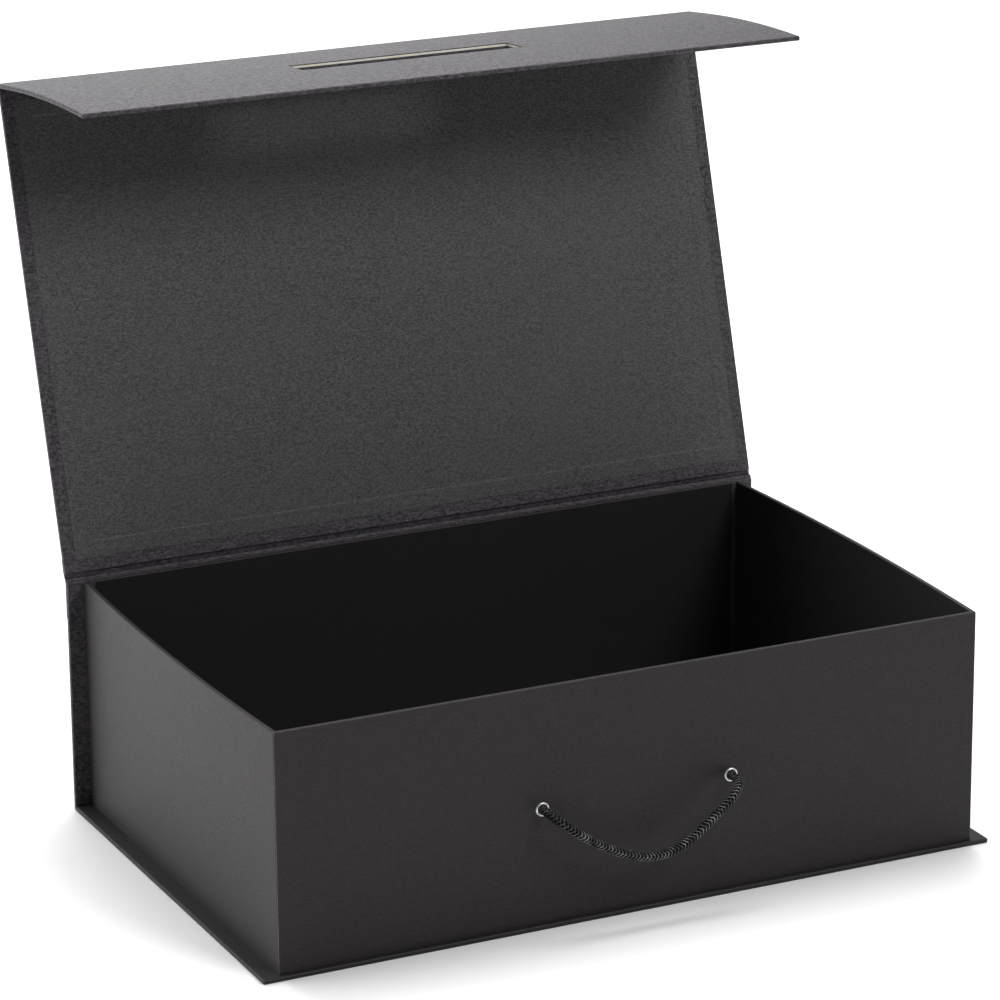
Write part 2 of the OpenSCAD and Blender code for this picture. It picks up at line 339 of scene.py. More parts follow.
def rope_yarn(name):
    """Black polyester yarn: filaments that run along each strand, with painted highlights on the
    strands' crests and painted shade where they dip between the others."""
    s = Shader(name)
    along = s.node("ShaderNodeUVMap", uv_map="strand").outputs["UV"]
    split = s.node("ShaderNodeSeparateXYZ")
    s.link(along, split.inputs[0])
    turn = s.maths("MULTIPLY", s.maths("SUBTRACT", split.outputs[0], 0.25), 2 * pi)
    crest_highlight = s.ramp(s.maths("COSINE", turn), 0.88, 1.0)
    lean = s.maths("MULTIPLY", split.outputs[1], FILAMENT_LEAN)
    turns = s.maths("MULTIPLY", split.outputs[0], FILAMENTS)
    wave = s.maths("SINE", s.maths("MULTIPLY", s.maths("ADD", turns, lean), 2 * pi))
    ridge = s.ramp(wave, -1, 1)
    fuzz = s.noise(0.3 * MM, 3)
    cloud = s.noise(5 * MM, 2)
    # Painted highlights on the strands' crests and painted shade on their sides and on the core,
    # over the yarn's own near black.
    bright = s.mix(s.ramp(cloud, 0.35, 0.7), (0.05, 0.05, 0.051), (0.26, 0.26, 0.265))
    tint = s.mix(crest_highlight, (0.0015, 0.0015, 0.0016), bright)
    normal = s.bump(ridge, 0.05 * MM, 0.8)
    return s.set(
        Base_Color=tint,
        Roughness=s.ramp(fuzz, 0.3, 0.7, 0.55, 0.4),
        Specular_IOR_Level=0.12,
        Normal=s.bump(fuzz, 0.03 * MM, 0.5, normal),
    )


def dried_glue(name):
    s = Shader(name)
    ripple = s.noise(4 * MM, 4)
    tint = s.mix(ripple, (0.62, 0.58, 0.48), (0.86, 0.84, 0.76))
    return s.set(
        Base_Color=tint,
        Roughness=s.ramp(ripple, 0.3, 0.7, 0.28, 0.5),
        Normal=s.bump(ripple, 0.1 * MM, 0.6),
    )


def studio_floor(name):
    s = Shader(name)
    cloud = s.noise(400 * MM, 2)
    tint = s.mix(cloud, (0.92, 0.92, 0.925), (0.95, 0.95, 0.95))
    return s.set(Base_Color=tint, Roughness=0.8)


# ---- Mesh building ----

def new_object(name, bm):
    mesh = bpy.data.meshes.new(name)
    bmesh.ops.recalc_face_normals(bm, faces=bm.faces)
    bm.to_mesh(mesh)
    bm.free()
    obj = bpy.data.objects.new(name, mesh)
    bpy.context.scene.collection.objects.link(obj)
    return obj


def mesh_object(name, points, faces):
    bm = bmesh.new()
    made = [bm.verts.new(p) for p in points]
    for face in faces:
        bm.faces.new([made[i] for i in face])
    return new_object(name, bm)


def box_object(name, lo, hi, rounding=0.0):
    """Box between two corners, with every edge rounded."""
    bm = bmesh.new()
    bmesh.ops.create_cube(bm, size=1)
    size = [b - a for a, b in zip(lo, hi)]
    middle = [(a + b) / 2 for a, b in zip(lo, hi)]
    bmesh.ops.scale(bm, vec=size, verts=bm.verts)
    bmesh.ops.translate(bm, vec=middle, verts=bm.verts)
    if rounding:
        bmesh.ops.bevel(
            bm, geom=bm.edges[:], offset=rounding, segments=4, profile=0.5,
            affect="EDGES",
        )
    return new_object(name, bm)


def cylinder_object(name, centre, axis, radius, length, sides=48):
    bm = bmesh.new()
    bmesh.ops.create_cone(
        bm, cap_ends=True, segments=sides, radius1=radius, radius2=radius, depth=length
    )
    turn = Vector((0, 0, 1)).rotation_difference(Vector(axis)).to_matrix()
    bmesh.ops.rotate(bm, matrix=turn, verts=bm.verts)
    bmesh.ops.translate(bm, vec=centre, verts=bm.verts)
    return new_object(name, bm)


def carve(obj, *cutters):
    """Takes the cutters out of obj, and removes them."""
    for cutter in cutters:
        cut = obj.modifiers.new("cut", "BOOLEAN")
        cut.operation = "DIFFERENCE"
        cut.solver = "EXACT"
        cut.object = cutter
        bpy.context.view_layer.update()
        graph = bpy.context.evaluated_depsgraph_get()
        mesh = bpy.data.meshes.new_from_object(obj.evaluated_get(graph))
        obj.modifiers.clear()
        obj.data = mesh
        bpy.data.objects.remove(cutter)
    return obj


def slice_across(obj, axis, places):
    """Adds a loop of edges wherever a plane across the axis (0, 1 or 2) passes a place."""
    normal = [0, 0, 0]
    normal[axis] = 1
    bm = bmesh.new()
    bm.from_mesh(obj.data)
    for place in places:
        point = [0, 0, 0]
        point[axis] = place
        bmesh.ops.bisect_plane(
            bm, geom=bm.verts[:] + bm.edges[:] + bm.faces[:], dist=1e-7,
            plane_co=point, plane_no=normal,
        )
    bm.to_mesh(obj.data)
    bm.free()


def steps(low, high, count):
    return [low + (high - low) * i / count for i in range(count + 1)]


def reshape(obj, move):
    """Puts each of obj's vertices where move(point) says."""
    for vertex in obj.data.vertices:
        vertex.co = move(vertex.co)


def mark_wear_and_highlight(mesh, bm):
    """Marks the vertices inside each rounded edge, where covering paper rubs first and where a
    painted highlight runs along the edge.
    """
    wear_and_highlight = mesh.attributes.new("wear_and_highlight", "FLOAT", "POINT")
    flat_turn, round_turn, sharp_turn = radians(12), radians(20), radians(45)
    for vertex in bm.verts:
        turn = max((e.calc_face_angle(0.0) for e in vertex.link_edges), default=0)
        share = (turn - flat_turn) / (round_turn - flat_turn)
        rounded = turn < sharp_turn
        wear_and_highlight.data[vertex.index].value = min(max(share, 0), 1) if rounded else 0.0


def complete(obj, body, material, slot, *nodes):
    """Shades, paints and seats a finished piece, in the place of its CAD nodes."""
    mesh = obj.data
    mesh.materials.clear()
    mesh.materials.append(material)
    crisp = radians(38)
    bm = bmesh.new()
    bm.from_mesh(mesh)
    for face in bm.faces:
        face.smooth = True
        face.material_index = 0
    for edge in bm.edges:
        edge.smooth = edge.calc_face_angle(0.0) < crisp
    bm.to_mesh(mesh)
    mark_wear_and_highlight(mesh, bm)
    bm.free()
    if body:
        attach(obj, body)
    if nodes:
        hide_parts(*nodes)
    return obj


# ---- Rope ----

# The handle's route from the left eyelet's mouth to the right one's, in mm:
# (x, y in front of the tray, z above the eyelets)
ROPE_ROUTE = [
    (-52.75, -1, 0),
    (-52.75, -3.5, 0),
    (-52.3, -7.2, -0.4),
    (-50.6, -11.4, -1.9),
    (-47.1, -15.1, -4.8),
    (-40.4, -17.2, -10),
    (-32, -16.9, -15.5),
    (-23, -17.6, -20.8),
    (-13, -18.5, -25),
    (-2.1, -19.2, -27.5),
    (8.1, -18.8, -27.3),
    (18, -18.6, -24),
    (27, -18.4, -18),
    (35.4, -17.6, -12.2),
    (43.8, -17.4, -5.5),
    (49.5, -13.5, -1.9),
    (52.2, -8.3, -0.3),
    (52.75, -3.5, 0),
    (52.75, -1, 0),
]
BRAID_PITCH = 2.0 * MM     # from one chevron to the next
CARRIERS = 4               # strands that wind each way


def smooth_route(points, spacing):
    """Points evenly spaced on a smooth curve through the given ones."""
    ends = [points[0] * 2 - points[1], *points, points[-1] * 2 - points[-2]]
    fine = []
    for a, b, c, d in zip(ends, ends[1:], ends[2:], ends[3:]):
        for i in range(24):
            t = i / 24
            fine.append(0.5 * (
                b * 2 + (c - a) * t + (a * 2 - b * 5 + c * 4 - d) * t ** 2
                + (b * 3 - a - c * 3 + d) * t ** 3
            ))
    fine.append(points[-1])
    run = [0.0]
    for a, b in zip(fine, fine[1:]):
        run.append(run[-1] + (b - a).length)
    count = round(run[-1] / spacing)
    even, k = [], 0
    for i in range(count + 1):
        wanted = run[-1] * i / count
        while k < len(run) - 2 and run[k + 1] < wanted:
            k += 1
        even.append(fine[k].lerp(fine[k + 1], (wanted - run[k]) / (run[k + 1] - run[k])))
    return even


def route_length(points):
    return sum((b - a).length for a, b in zip(points, points[1:]))


def route_frames(points, front):
    """(tangent, normal, side) along a route. The normals turn as little as they can, and
    the middle one points as nearly to the front as it can."""
    last = len(points) - 1
    tangents = [
        (points[min(i + 1, last)] - points[max(i - 1, 0)]).normalized()
        for i in range(last + 1)
    ]
    middle = last // 2
    normals = [None] * (last + 1)
    normals[middle] = (front - tangents[middle] * front.dot(tangents[middle])).normalized()
    for order in (range(middle + 1, last + 1), range(middle - 1, -1, -1)):
        before = middle
        for i in order:
            turned = normals[before] - tangents[i] * normals[before].dot(tangents[i])
            normals[i] = turned.normalized()
            before = i
    return [(t, n, t.cross(n)) for t, n in zip(tangents, normals)]


def braid_strand(points, frames, spacing, start, way, size):
    """One flat strand of the braid. It winds one way round the route, and passes over the
    other strands in two quarters of the turn and under them in the other two."""
    middle_r, swing = 0.66 * size, 0.13 * size
    half_width, half_thick = 0.27 * size, 0.21 * size
    centres, outs = [], []
    for i, (point, (_, normal, side)) in enumerate(zip(points, frames)):
        turn = start + way * 2 * pi * i * spacing / (BRAID_PITCH * CARRIERS)
        over = max(-1.0, min(1.0, -way * 1.5 * sin(2 * turn)))
        out = normal * cos(turn) + side * sin(turn)
        centres.append(point + out * (middle_r + swing * over))
        outs.append(out)
    sides = 8
    rings = []
    last = len(centres) - 1
    for i, (centre, out) in enumerate(zip(centres, outs)):
        ahead = (centres[min(i + 1, last)] - centres[max(i - 1, 0)]).normalized()
        across = ahead.cross(out).normalized()
        rise = across.cross(ahead)
        rings.append([
            centre
            + across * half_width * cos(2 * pi * k / sides)
            + rise * half_thick * sin(2 * pi * k / sides)
            for k in range(sides)
        ])
    return rings


def plain_tube(points, frames, radius, sides=12):
    return [
        [
            point + (normal * cos(2 * pi * k / sides) + side * sin(2 * pi * k / sides)) * radius
            for k in range(sides)
        ]
        for point, (_, normal, side) in zip(points, frames)
    ]


def add_tube(bm, uv, rings, spacing, crest_highlit=True):
    """Closed tube through rings of points, with its length and its turn kept as UVs.
    A tube with no highlit crests keeps the turn opposite to one, which is painted shade."""
    made = [[bm.verts.new(p) for p in ring] for ring in rings]
    sides = len(rings[0])
    for i, (a, b) in enumerate(zip(made, made[1:])):
        for k in range(sides):
            face = bm.faces.new([a[k], a[(k + 1) % sides], b[(k + 1) % sides], b[k]])
            around = (k / sides, (k + 1) / sides, (k + 1) / sides, k / sides)
            # The core keeps the turn opposite a crest all round: painted shade between the
            # strands.
            if not crest_highlit:
                around = (0.75,) * 4
            along = (i, i, i + 1, i + 1)
            for loop, u, v in zip(face.loops, around, along):
                loop[uv].uv = (u, v * spacing / MM)
    bm.faces.new(made[0][::-1])
    bm.faces.new(made[-1])


def braid(name, points, front, size, spacing=0.4 * MM):
    """Round braid of eight flat strands over a core, along a route. size is its radius."""
    route = smooth_route(points, spacing)
    frames = route_frames(route, front)
    bm = bmesh.new()
    uv = bm.loops.layers.uv.new("strand")
    for way in (-1, 1):
        for k in range(CARRIERS):
            start = 2 * pi * (k + 0.25 * way) / CARRIERS
            add_tube(bm, uv, braid_strand(route, frames, spacing, start, way, size), spacing)
    add_tube(bm, uv, plain_tube(route, frames, 0.6 * size), spacing, crest_highlit=False)
    return new_object(name, bm), route


FACING = Vector((0, -0.94, 0.33))    # the side that the chevrons' points face


def make_rope_handle(material):
    points = [
        Vector((x * MM, tray_front + y * MM, eyelet_z + z * MM)) for x, y, z in ROPE_ROUTE
    ]
    rope, route = braid("rope_handle", points, FACING, ROPE_D / 2)
    complete(rope, None, material, "rope", "rope_loop")
    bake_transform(rope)
    tuple(points[0])
    route_length(route)
    [tuple(p) for p in route]


def knot_route(centre, reach, start):
    """Overhand knot about a point: from start into the knot, and out to a short tail."""
    loops = []
    for i in range(25):
        t = radians(28) + 2 * pi * i / 24 * 0.86
        out = 2 + cos(3 * t)
        loops.append(centre + Vector((
            out * sin(2 * t), sin(3 * t) * 1.1, out * cos(2 * t)
        )) * (reach / 3))
    tail = loops[-1] + (loops[-1] - loops[-2]).normalized() * 5 * MM
    return [start, *loops, tail]


def make_rope_ends(material):
    """The rope through each eyelet, and its knot inside the tray."""
    for name, side in SIDES.items():
        stub_lo, stub_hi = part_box("rope_stub_" + name)
        knot_lo, knot_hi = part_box("rope_knot_" + name)
        x = -side * eyelet_x
        mouth = Vector((x, stub_lo.y, eyelet_z))
        inner = Vector((x, stub_hi.y, eyelet_z))
        stub, _ = braid("rope_in_eyelet_" + name, [mouth, inner], FACING, ROPE_D / 2 * 0.99)
        complete(stub, "tray", material, "rope", "rope_stub_" + name)
        middle = (knot_lo + knot_hi) / 2
        knot, _ = braid(
            "knot_" + name, knot_route(middle, 3.9 * MM, inner), Vector((0, 0, 1)), 2.2 * MM
        )
        complete(knot, "tray", material, "rope", "rope_knot_" + name)


# ---- Eyelets ----

def lathe(name, outline, centre, sides=56):
    """Turns an outline of (radius, y) points about a line along Y."""
    bm = bmesh.new()
    rings = []
    for radius, y in outline:
        rings.append([
            bm.verts.new(centre + Vector((
                radius * cos(2 * pi * k / sides), y, radius * sin(2 * pi * k / sides)
            )))
            for k in range(sides)
        ])
    for a, b in zip(rings, rings[1:] + rings[:1]):
        for k in range(sides):
            bm.faces.new([a[k], a[(k + 1) % sides], b[(k + 1) % sides], b[k]])
    return new_object(name, bm)


def arc(radius, y, size_r, size_y, start, end, count=6):
    """Points of an elliptical arc in an outline, with its angles in degrees."""
    return [
        (radius + size_r * cos(radians(a)), y + size_y * sin(radians(a)))
        for a in steps(start, end, count)
    ]


def make_eyelets(material):
    wall = 0.4 * MM
    for name, side in SIDES.items():
        lo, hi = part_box("eyelet_" + name)
        centre = Vector((-side * eyelet_x, 0, eyelet_z))
        hole_r = ROPE_D / 2 + 0.1 * MM
        rim_r = (hi.x - lo.x) / 2
        rim_t = tray_front - lo.y
        middle_r = (hole_r + rim_r) / 2
        rolled = arc(middle_r, tray_front, rim_r - middle_r, -rim_t, 0, 180, 12)
        lip_r = hole_r + wall + 0.6 * MM
        flare = arc(lip_r - 0.2 * MM, hi.y - wall / 2, wall / 2, wall / 2, 90, -90, 6)
        outline = (
            rolled
            + [(hole_r, tray_front + 1 * MM), (hole_r, hi.y - wall)]
            + [(hole_r + 0.15 * MM, hi.y)]
            + flare
            + [(hole_r + wall, hi.y - wall), (hole_r + wall, tray_front + 0.02 * MM)]
        )
        eyelet = lathe("eyelet_ring_" + name, outline, centre)
        complete(eyelet, "tray", material, "nickel", "eyelet_" + name)
        make_washer(name, centre, material)


def make_washer(name, centre, material):
    lo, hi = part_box("washer_" + name)
    outer_r = (hi.x - lo.x) / 2
    inner_r = outer_r - 2 * MM
    round_r = 0.18 * MM
    outline = []
    corners = (
        (outer_r, hi.y, -1, -1, 90, 0),
        (outer_r, lo.y, -1, 1, 0, -90),
        (inner_r, lo.y, 1, 1, 270, 180),
        (inner_r, hi.y, 1, -1, 180, 90),
    )
    for radius, y, to_r, to_y, start, end in corners:
        outline += arc(
            radius + to_r * round_r, y + to_y * round_r, round_r, round_r, start, end, 3
        )
    washer = lathe("eyelet_washer_" + name, outline, centre)
    complete(washer, "tray", material, "nickel", "washer_" + name)


# ---- Tray ----

def side_bow(point):
    """Bows the tray's side walls outward, most at the middle of the rim."""
    middle = (tray_front + tray_back) / 2
    across = 1 - ((point.y - middle) / ((tray_back - tray_front) / 2)) ** 2
    up = max(0.0, (point.z - case_t) / (rim_z - case_t))
    near_side = min(1.0, max(0.0, (abs(point.x) / tray_hi.x - 0.9) / 0.08))
    push = SIDE_BOW * max(across, 0) * up ** 1.4 * near_side
    return Vector((point.x + (push if point.x > 0 else -push), point.y, point.z))


def wall_outline():
    """Closed outline of the tray's covering paper: (offset out from the outer face, z)."""
    shoulder = rim_z - EDGE_R
    outer = [(0.0, z) for z in steps(case_t, shoulder - EDGE_LOOP, 10)] + [(0.0, shoulder)]
    over = arc(-EDGE_R, shoulder, EDGE_R, EDGE_R, 0, 90, 4)[1:]
    over += arc(EDGE_R - case_t, shoulder, EDGE_R, EDGE_R, 90, 180, 4)
    inner = [(-case_t, z) for z in steps(shoulder - EDGE_LOOP, floor_z - PAPER, 10)]
    behind = [
        (PAPER - case_t, z) for z in steps(floor_z - PAPER, rim_z - PAPER, 10)
    ]
    down = [(-PAPER, z) for z in steps(rim_z - PAPER, case_t + PAPER, 10)]
    return outer + over + inner + behind + down + [
        (-TURN_IN, case_t + PAPER),
        (-TURN_IN, case_t),
    ]


def ring_round(offset, z):
    """Points round the tray at an offset from its outer face."""
    half_x, half_y = tray_hi.x + offset, (tray_back - tray_front) / 2 + offset
    middle = (tray_front + tray_back) / 2
    r = max(CORNER_R + offset, 0.12 * MM)
    points = []
    corners = ((1, -1, -90), (1, 1, 0), (-1, 1, 90), (-1, -1, 180))
    for (sx, sy, start), (nx, ny, _) in zip(corners, corners[1:] + corners[:1]):
        centre = Vector((sx * (half_x - r), middle + sy * (half_y - r), z))
        for a in steps(start, start + 90, 4):
            points.append(centre + Vector((cos(radians(a)), sin(radians(a)), 0)) * r)
        after = Vector((nx * (half_x - r), middle + ny * (half_y - r), z))
        out = Vector((cos(radians(start + 90)), sin(radians(start + 90)), 0)) * r
        near = EDGE_LOOP / (after - centre).length
        for share in (near, *steps(0, 1, 24)[1:-1], 1 - near):
            points.append((centre + out).lerp(after + out, share))
    return points


def make_tray_paper(material):
    rings = [ring_round(offset, z) for offset, z in wall_outline()]
    count = len(rings[0])
    points = [p for ring in rings for p in ring]
    faces = []
    for i in range(len(rings)):
        j = (i + 1) % len(rings)
        for k in range(count):
            n = (k + 1) % count
            faces.append((i * count + k, i * count + n, j * count + n, j * count + k))
    paper = mesh_object("tray_paper", points, faces)
    hole_r = ROPE_D / 2 + 0.6 * MM
    carve(paper, *[
        cylinder_object(
            "hole", (side * -eyelet_x, tray_front, eyelet_z), (0, 1, 0), hole_r, 12 * MM
        )
        for side in SIDES.values()
    ])
    reshape(paper, side_bow)
    complete(paper, "tray", material, "outer_paper", "tray_wrap")


def wavy_edge(side, middle_x):
    """Waves a corner tab's free edge, which is on the far side of its middle."""
    short, long = 7 * MM, 31 * MM

    def move(point):
        free = (point.x - middle_x) * side < 0
        wave = 0.5 + 0.5 * sin(point.z / short + 2 * sin(point.z / long))
        return point + Vector((side * TAB_WAVE * wave * free, 0, 0))

    return move


def make_corner_tabs(material):
    """Paper tab up each inner corner, with a slightly wavy free edge."""
    for end in ("front", "back"):
        for name, side in SIDES.items():
            node = f"corner_tab_{end}_{name}"
            lo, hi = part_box(node)
            tab = box_object("tab_" + end + "_" + name, lo, hi, 0.08 * MM)
            slice_across(tab, 2, steps(lo.z, hi.z, 36)[1:-1])
            reshape(tab, wavy_edge(side, (lo.x + hi.x) / 2))
            complete(tab, "tray", material, "outer_paper", node)


def make_side_boards(material):
    for name in SIDES:
        lo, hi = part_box("wall_" + name)
        board = box_object("side_board_" + name, lo, hi, 0.15 * MM)
        slice_across(board, 1, steps(lo.y, hi.y, 24)[1:-1])
        slice_across(board, 2, steps(lo.z, hi.z, 10)[1:-1])
        reshape(board, side_bow)
        complete(board, "tray", material, "greyboard", "wall_" + name)


# ---- Covered panels ----

def covered_board(name, lo, hi, window=None):
    """Paper round a board: a rounded skin, hollow where the board is. The window is the
    patch that the turned-in paper leaves bare."""
    skin = box_object(name, lo, hi, EDGE_R)
    inset = Vector((PAPER, PAPER, PAPER))
    cutters = [box_object("core", lo + inset, hi - inset)]
    if window:
        cutters.append(box_object("window", *window))
    return carve(skin, *cutters)


def edge_loops(obj, lo, hi, axes=(0, 1)):
    """Loops of edges just inside the rounded edges, so that the rubbing and the painted
    highlight stay on the edge.
    """
    for axis in axes:
        inset = EDGE_R + EDGE_LOOP
        slice_across(obj, axis, (lo[axis] + inset, hi[axis] - inset))


def make_base_and_spine(base_look, spine_look):
    inset = Vector((TURN_IN, TURN_IN, 0))
    window_lo = Vector((tray_lo.x, tray_front, case_t - PAPER)) + inset
    window_hi = Vector((tray_hi.x, tray_back, case_t + PAPER)) - inset
    base = covered_board("base_paper", base_lo, base_hi, (window_lo, window_hi))
    edge_loops(base, base_lo, base_hi)
    complete(base, "tray", base_look, "outer_paper", "base_wrap")
    window_lo = Vector((tray_lo.x + TURN_IN, tray_back - PAPER, case_t + TURN_IN))
    window_hi = Vector((tray_hi.x - TURN_IN, tray_back + PAPER, rim_z - TURN_IN))
    spine = covered_board("spine_paper", spine_lo, spine_hi, (window_lo, window_hi))
    edge_loops(spine, spine_lo, spine_hi, (0, 2))
    complete(spine, "tray", spine_look, "outer_paper", "spine_wrap")


def panel_place(origin, run):
    """Frame of a panel: X along its hinge, -Y down its run, +Z out of its outer face."""
    x = Vector((1, 0, 0))
    turn = Matrix((x, -run, run.cross(x))).transposed()
    return Matrix.Translation(origin) @ turn.to_4x4()


LID = panel_place(hinge, lid_run)
FLAP = panel_place(crease, flap_run)


def local_box(node, place):
    """A CAD node's lowest and highest corners in a panel's own frame."""
    back = place.inverted()
    points = [back @ v.co for v in frame["nodes"][node].data.vertices]
    lo = Vector([min(p[i] for p in points) for i in range(3)])
    hi = Vector([max(p[i] for p in points) for i in range(3)])
    return lo, hi


def slot_cutter():
    deep = 10 * MM
    return box_object(
        "slot",
        (-SLOT_L / 2, -slot_run - SLOT_W / 2, -deep),
        (SLOT_L / 2, -slot_run + SLOT_W / 2, deep),
    )


def flap_bow(lo, hi):
    """Arches the flap outward between its crease and its front edge."""
    def move(point):
        share = (point.y - lo.y) / (hi.y - lo.y)
        return Vector((point.x, point.y, point.z + FLAP_BOW * 4 * share * (1 - share)))
    return move


def panel_skin(name, node, place, bow=None, slotted=False):
    """Covering paper of the lid or the flap."""
    lo, hi = local_box(node, place)
    inset = Vector((TURN_IN, TURN_IN, 0))
    window = (
        Vector((lo.x, lo.y, lo.z - PAPER)) + inset,
        Vector((hi.x, hi.y, lo.z + PAPER)) - inset,
    )
    skin = covered_board(name, lo, hi, window)
    if slotted:
        carve(skin, slot_cutter())
    edge_loops(skin, lo, hi)
    if bow:
        slice_across(skin, 1, steps(lo.y, hi.y, 28)[1:-1])
        reshape(skin, bow)
    skin.data.transform(place)
    return skin


def liner_height(x, y, lo, hi):
    """Height of the lining's glued face: up on the turned-in paper, down on the board."""
    depth = min(x - lo.x, hi.x - x, y - lo.y, hi.y - y)
    t = min(1.0, max(0.0, (depth - TURN_IN) / LINER_STEP))
    return lo.z + PAPER * t * t * (3 - 2 * t)


def liner_lines(low, high, edge_low, edge_high, extra=()):
    """Grid lines across a lining: close together over the step, and wide elsewhere."""
    near = [TURN_IN + LINER_STEP * i / 4 for i in range(-1, 6)]
    lines = {low, high, *extra}
    lines.update(edge_low + n for n in near)
    lines.update(edge_high - n for n in near)
    lines.update(steps(edge_low + 24 * MM, edge_high - 24 * MM, 22))
    ordered = sorted(v for v in lines if low <= v <= high)
    return [v for i, v in enumerate(ordered) if i == 0 or v - ordered[i - 1] > 1e-6]


def liner_cells(xs, ys, slotted):
    """The cells between a lining's grid lines that have paper, in order."""
    cells = []
    for i in range(len(xs) - 1):
        for j in range(len(ys) - 1):
            x, y = (xs[i] + xs[i + 1]) / 2, (ys[j] + ys[j + 1]) / 2
            in_slot = abs(x) < SLOT_L / 2 and abs(y + slot_run) < SLOT_W / 2
            if not (slotted and in_slot):
                cells.append((i, j))
    return cells


def add_liner_faces(bm, layers, cells):
    """Both faces of every cell, and an edge face wherever a cell has none beside it."""
    top, under = layers
    papered = set(cells)
    for i, j in cells:
        corners = [(i, j), (i + 1, j), (i + 1, j + 1), (i, j + 1)]
        for layer in layers:
            bm.faces.new([layer[a][b] for a, b in corners])
        beside = [(i, j - 1), (i + 1, j), (i, j + 1), (i - 1, j)]
        for c, d, cell in zip(corners, corners[1:] + corners[:1], beside):
            if cell not in papered:
                bm.faces.new([
                    top[c[0]][c[1]], top[d[0]][d[1]],
                    under[d[0]][d[1]], under[c[0]][c[1]],
                ])


def panel_liner(name, node, wrap_node, place, bow=None, slotted=False):
    """Lining paper, as a sheet that steps down from the turned-in paper to the board."""
    lo, hi = local_box(node, place)
    edge_lo, edge_hi = local_box(wrap_node, place)
    slot_y = (-slot_run - SLOT_W / 2, -slot_run + SLOT_W / 2) if slotted else ()
    slot_x = (-SLOT_L / 2, SLOT_L / 2) if slotted else ()
    xs = liner_lines(lo.x, hi.x, edge_lo.x, edge_hi.x, slot_x)
    ys = liner_lines(lo.y, hi.y, edge_lo.y, edge_hi.y, slot_y)
    bm = bmesh.new()
    layers = []
    for thick in (0.0, PAPER):
        layers.append([
            [
                bm.verts.new((x, y, liner_height(x, y, edge_lo, edge_hi) - thick))
                for y in ys
            ]
            for x in xs
        ])

    add_liner_faces(bm, layers, liner_cells(xs, ys, slotted))
    liner = new_object(name, bm)
    if bow:
        reshape(liner, bow)
    liner.data.transform(place)
    return liner


def make_lid(outer, lining):
    skin = panel_skin("lid_paper", "lid_wrap", LID)
    complete(skin, "lid", outer, "outer_paper", "lid_wrap")
    liner = panel_liner("lid_lining", "lid_liner", "lid_wrap", LID)
    complete(liner, "lid", lining, "lining_paper", "lid_liner")


def make_flap(outer, lining, board_look, magnet_look):
    bow = flap_bow(*local_box("flap_wrap", FLAP))
    make_slot_lips_and_shade(*local_box("flap_wrap", FLAP), bow, outer)
    skin = panel_skin("flap_paper", "flap_wrap", FLAP, bow, slotted=True)
    complete(skin, "flap", outer, "outer_paper", "flap_wrap")
    liner = panel_liner(
        "flap_lining", "flap_liner", "flap_wrap", FLAP, bow, slotted=True
    )
    complete(liner, "flap", lining, "lining_paper", "flap_liner")
    lo, hi = local_box("flap_board", FLAP)
    board = box_object("flap_core", lo, hi)
    magnet_lo, magnet_hi = local_box("flap_magnets", FLAP)
    radius = (magnet_hi.y - magnet_lo.y) / 2
    middle = (magnet_lo + magnet_hi) / 2
    thick = magnet_hi.z - magnet_lo.z
    places = [
        Vector((side * (magnet_hi.x - radius), middle.y, middle.z))
        for side in SIDES.values()
    ]
    pockets = [
        cylinder_object("pocket", p, (0, 0, 1), radius + 0.1 * MM, thick + 0.1 * MM)
        for p in places
    ]
    carve(board, slot_cutter(), *pockets)
    slice_across(board, 1, steps(lo.y, hi.y, 28)[1:-1])
    reshape(board, bow)
    board.data.transform(FLAP)
    complete(board, "flap", board_look, "greyboard", "flap_board")
    make_flap_magnets(places, radius, thick, bow, magnet_look)


def make_slot_lips_and_shade(lo, hi, bow, material):
    """The papers' cut edges, pressed a little way over the slot's board walls; partly painted
    shade, as their dark stands in for the shade inside the slot.
    """
    thick = 0.14 * MM
    shells = (
        ("slot_lip_and_shade_outer", hi.z - 0.5 * MM, hi.z - 0.02 * MM, "outer_paper"),
        # The lining's lip reaches high up the board wall: painted shade in the slot as much as
        # paper.
        ("slot_lip_and_shade_inner", lo.z - 0.2 * MM, lo.z + 0.85 * MM, "lining_paper"),
    )
    for name, low, high, slot in shells:
        middle = Vector((0, -slot_run, 0))
        reach = Vector((SLOT_L / 2, SLOT_W / 2, 0))
        wall = Vector((thick, thick, 0))
        tall = Vector((0, 0, 1))
        ring = box_object(name, middle - reach + tall * low, middle + reach + tall * high)
        carve(ring, box_object(
            "inside", middle - reach + wall + tall * (low - MM),
            middle + reach - wall + tall * (high + MM),
        ))
        slice_across(ring, 1, steps(lo.y, hi.y, 28)[1:-1])
        reshape(ring, bow)
        ring.data.transform(FLAP)
        complete(ring, "flap", material, slot)


def make_flap_magnets(places, radius, thick, bow, material):
    """Both magnets, level with the arched board's inner face, as one piece."""
    bm = bmesh.new()
    for place in places:
        disc = bmesh.ops.create_cone(
            bm, cap_ends=True, segments=48, radius1=radius, radius2=radius, depth=thick
        )["verts"]
        bmesh.ops.translate(bm, vec=bow(place), verts=disc)
    rims = [e for e in bm.edges if e.calc_face_angle(0.0) > radians(60)]
    bmesh.ops.bevel(bm, geom=rims, offset=0.15 * MM, segments=2, affect="EDGES")
    magnets = new_object("flap_magnet_discs", bm)
    magnets.data.transform(FLAP)
    complete(magnets, "flap", material, "magnet", "flap_magnets")


# ---- Folds ----

